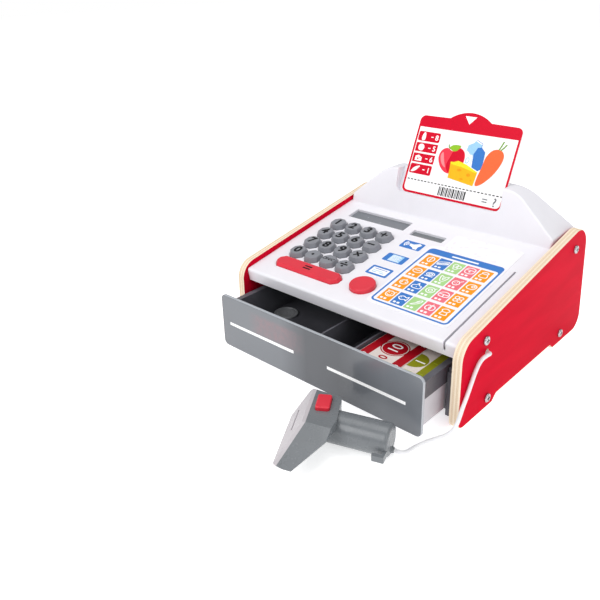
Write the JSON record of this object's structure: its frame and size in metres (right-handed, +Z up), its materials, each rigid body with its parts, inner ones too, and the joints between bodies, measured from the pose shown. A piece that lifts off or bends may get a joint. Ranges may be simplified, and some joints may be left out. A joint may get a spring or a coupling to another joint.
{
  "type": "toy cash register",
  "caption": "Desktop play till with wooden sides, sloping keypad and touch sheet, list card holder, sprung cash drawer and a corded hand scanner.",
  "frame": {"origin": "on the floor, under the middle of the whole object with its scanner", "axes": "+Z up; front, with the drawer, towards -Y; +X to the right seen from the front"},
  "size_m": [0.253, 0.3558, 0.1994],
  "materials": {
    "panel_red": "satin red lacquer on plywood",
    "screw_steel": "polished",
    "housing_white": "semi-gloss",
    "black_plastic": "fine texture",
    "grey_plastic": "satin",
    "light_grey": "satin",
    "red_plastic": "satin",
    "clear_grey": "translucent satin",
    "display": "glossy",
    "solar": "glossy",
    "board": "lacquered board",
    "rubber": "matte",
    "print_sheet": "printed film",
    "print_paper": "printed paper",
    "cord_white": "matte",
    "spring_steel": "bare",
    "coin_metal": "satin"
  },
  "bodies": {
    "register": {"side_panel_left": "panel_red", "side_panel_right": "panel_red", "panel_screws": "screw_steel", "top_housing": "housing_white", "rear_cover": "housing_white", "rear_cover_screws": "screw_steel", "chassis": "black_plastic", "display_window": "display", "display_panel": "grey_plastic", "solar_cell": "solar", "calculator_board": "board", "board_screws": "screw_steel", "key_mat": "rubber", "sticker_scan": "print_sheet", "sticker_swipe": "print_sheet", "sticker_list": "print_sheet", "touch_sheet": "print_sheet", "latch_pin": "spring_steel", "cord_stop": "cord_white", "cord": "cord_white", "release_spring": "spring_steel", "drawer_spring": "spring_steel"},
    "drawer": {"drawer_front": "clear_grey", "drawer_box": "light_grey", "coin_tray": "black_plastic", "drawer_screws": "screw_steel", "play_note_red": "print_paper", "play_note_green": "print_paper"},
    "coin": {"play_coin": "coin_metal"},
    "card": {"list_card": "print_paper"},
    "release_button": {"release_button": "red_plastic"},
    "latch": {"latch_lever": "grey_plastic"},
    "equals_bar": {"equals_bar": "red_plastic"},
    "scanner": {"scanner_shell_top": "grey_plastic", "scanner_shell_bottom": "grey_plastic", "scanner_window": "light_grey", "scanner_board": "board", "scanner_buzzer": "black_plastic", "cord_relief": "grey_plastic"},
    "scan_trigger": {"scanner_trigger": "red_plastic"},
    "key_1": {"key_1": "grey_plastic"},
    "key_2": {"key_2": "grey_plastic"},
    "key_3": {"key_3": "grey_plastic"},
    "key_plus": {"key_plus": "grey_plastic"},
    "key_4": {"key_4": "grey_plastic"},
    "key_5": {"key_5": "grey_plastic"},
    "key_6": {"key_6": "grey_plastic"},
    "key_minus": {"key_minus": "grey_plastic"},
    "key_7": {"key_7": "grey_plastic"},
    "key_8": {"key_8": "grey_plastic"},
    "key_9": {"key_9": "grey_plastic"},
    "key_times": {"key_times": "grey_plastic"},
    "key_0": {"key_0": "grey_plastic"},
    "key_point": {"key_point": "grey_plastic"},
    "key_on_clear": {"key_on_clear": "grey_plastic"},
    "key_divide": {"key_divide": "grey_plastic"}
  },
  "joints": [
    {"name": "drawer_slide", "type": "slide", "parent": "register", "child": "drawer", "axis": [0, -1, 0], "range_m": [-0.035, 0.008], "stiffness_N_per_m": 20, "deforming": ["drawer_spring"]},
    {"name": "coin_lift", "type": "slide", "parent": "drawer", "child": "coin", "axis": [0, 0, 1], "range_m": [0, 0.02]},
    {"name": "card_lift", "type": "slide", "parent": "register", "child": "card", "axis": [0, 0.4163, 0.9092], "range_m": [0, 0.06]},
    {"name": "release_press", "type": "slide", "parent": "register", "child": "release_button", "axis": [0, 0.1771, -0.9842], "range_m": [0, 0.003], "stiffness_N_per_m": 300, "deforming": ["release_spring"]},
    {"name": "latch_rock", "type": "hinge", "parent": "register", "child": "latch", "pos_m": [0.002, 0.01, 0.056], "axis": [1, 0, 0], "range_deg": [0, 8.5]},
    {"name": "equals_press", "type": "slide", "parent": "register", "child": "equals_bar", "axis": [0, 0.1771, -0.9842], "range_m": [0, 0.002], "stiffness_N_per_m": 400},
    {"name": "scanner_lift", "type": "slide", "parent": "register", "child": "scanner", "axis": [0, 0, 1], "range_m": [0, 0.06]},
    {"name": "trigger_press", "type": "slide", "parent": "scanner", "child": "scan_trigger", "axis": [0, 0, -1], "range_m": [0, 0.002], "stiffness_N_per_m": 300},
    {"name": "press_1", "type": "slide", "parent": "register", "child": "key_1", "axis": [0, 0.1771, -0.9842], "range_m": [0, 0.002], "stiffness_N_per_m": 250},
    {"name": "press_2", "type": "slide", "parent": "register", "child": "key_2", "axis": [0, 0.1771, -0.9842], "range_m": [0, 0.002], "stiffness_N_per_m": 250},
    {"name": "press_3", "type": "slide", "parent": "register", "child": "key_3", "axis": [0, 0.1771, -0.9842], "range_m": [0, 0.002], "stiffness_N_per_m": 250},
    {"name": "press_plus", "type": "slide", "parent": "register", "child": "key_plus", "axis": [0, 0.1771, -0.9842], "range_m": [0, 0.002], "stiffness_N_per_m": 250},
    {"name": "press_4", "type": "slide", "parent": "register", "child": "key_4", "axis": [0, 0.1771, -0.9842], "range_m": [0, 0.002], "stiffness_N_per_m": 250},
    {"name": "press_5", "type": "slide", "parent": "register", "child": "key_5", "axis": [0, 0.1771, -0.9842], "range_m": [0, 0.002], "stiffness_N_per_m": 250},
    {"name": "press_6", "type": "slide", "parent": "register", "child": "key_6", "axis": [0, 0.1771, -0.9842], "range_m": [0, 0.002], "stiffness_N_per_m": 250},
    {"name": "press_minus", "type": "slide", "parent": "register", "child": "key_minus", "axis": [0, 0.1771, -0.9842], "range_m": [0, 0.002], "stiffness_N_per_m": 250},
    {"name": "press_7", "type": "slide", "parent": "register", "child": "key_7", "axis": [0, 0.1771, -0.9842], "range_m": [0, 0.002], "stiffness_N_per_m": 250},
    {"name": "press_8", "type": "slide", "parent": "register", "child": "key_8", "axis": [0, 0.1771, -0.9842], "range_m": [0, 0.002], "stiffness_N_per_m": 250},
    {"name": "press_9", "type": "slide", "parent": "register", "child": "key_9", "axis": [0, 0.1771, -0.9842], "range_m": [0, 0.002], "stiffness_N_per_m": 250},
    {"name": "press_times", "type": "slide", "parent": "register", "child": "key_times", "axis": [0, 0.1771, -0.9842], "range_m": [0, 0.002], "stiffness_N_per_m": 250},
    {"name": "press_0", "type": "slide", "parent": "register", "child": "key_0", "axis": [0, 0.1771, -0.9842], "range_m": [0, 0.002], "stiffness_N_per_m": 250},
    {"name": "press_point", "type": "slide", "parent": "register", "child": "key_point", "axis": [0, 0.1771, -0.9842], "range_m": [0, 0.002], "stiffness_N_per_m": 250},
    {"name": "press_on_clear", "type": "slide", "parent": "register", "child": "key_on_clear", "axis": [0, 0.1771, -0.9842], "range_m": [0, 0.002], "stiffness_N_per_m": 250},
    {"name": "press_divide", "type": "slide", "parent": "register", "child": "key_divide", "axis": [0, 0.1771, -0.9842], "range_m": [0, 0.002], "stiffness_N_per_m": 250}
  ],
  "couplings": [
    {"joint": "latch_rock", "follows": "release_press", "rad_per_m": 48}
  ]
}
